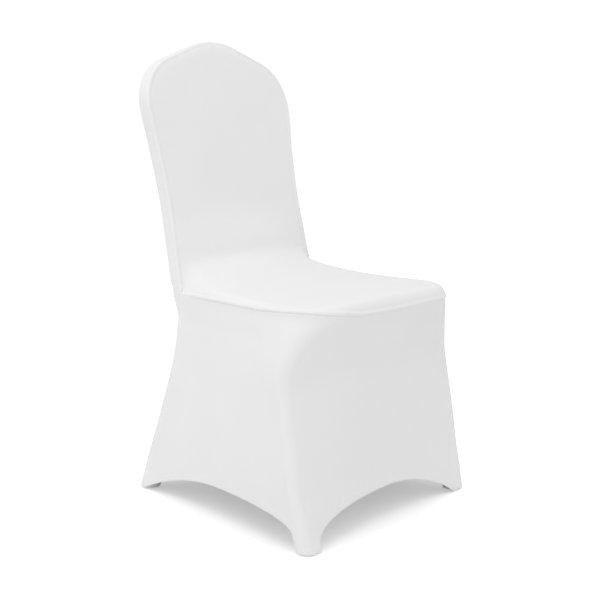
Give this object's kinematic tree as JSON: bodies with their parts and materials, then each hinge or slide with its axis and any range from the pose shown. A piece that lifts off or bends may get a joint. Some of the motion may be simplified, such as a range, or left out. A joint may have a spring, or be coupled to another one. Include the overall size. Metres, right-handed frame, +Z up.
{
  "type": "fitted chair cover",
  "caption": "White stretch knit cover for a banquet chair, taut over back and seat, with arched hems between closed foot pockets.",
  "frame": {"origin": "on the floor, in the middle of the cover's box", "axes": "+Z up, -Y the way a sitter would face, +X to the sitter's left"},
  "size_m": [0.4943, 0.5431, 0.9228],
  "materials": {
    "inner_panel": "white smooth stretch knit, matt",
    "outer_panel": "white smooth stretch knit, matt",
    "skirt": "white smooth stretch knit, matt",
    "foot_pocket": "white knit, doubled, matt"
  },
  "bodies": {
    "root": {"inner_panel": "inner_panel", "outer_panel": "outer_panel", "skirt": "skirt", "foot_pocket_fr": "foot_pocket", "foot_pocket_fl": "foot_pocket", "foot_pocket_rr": "foot_pocket", "foot_pocket_rl": "foot_pocket"}
  },
  "joints": []
}
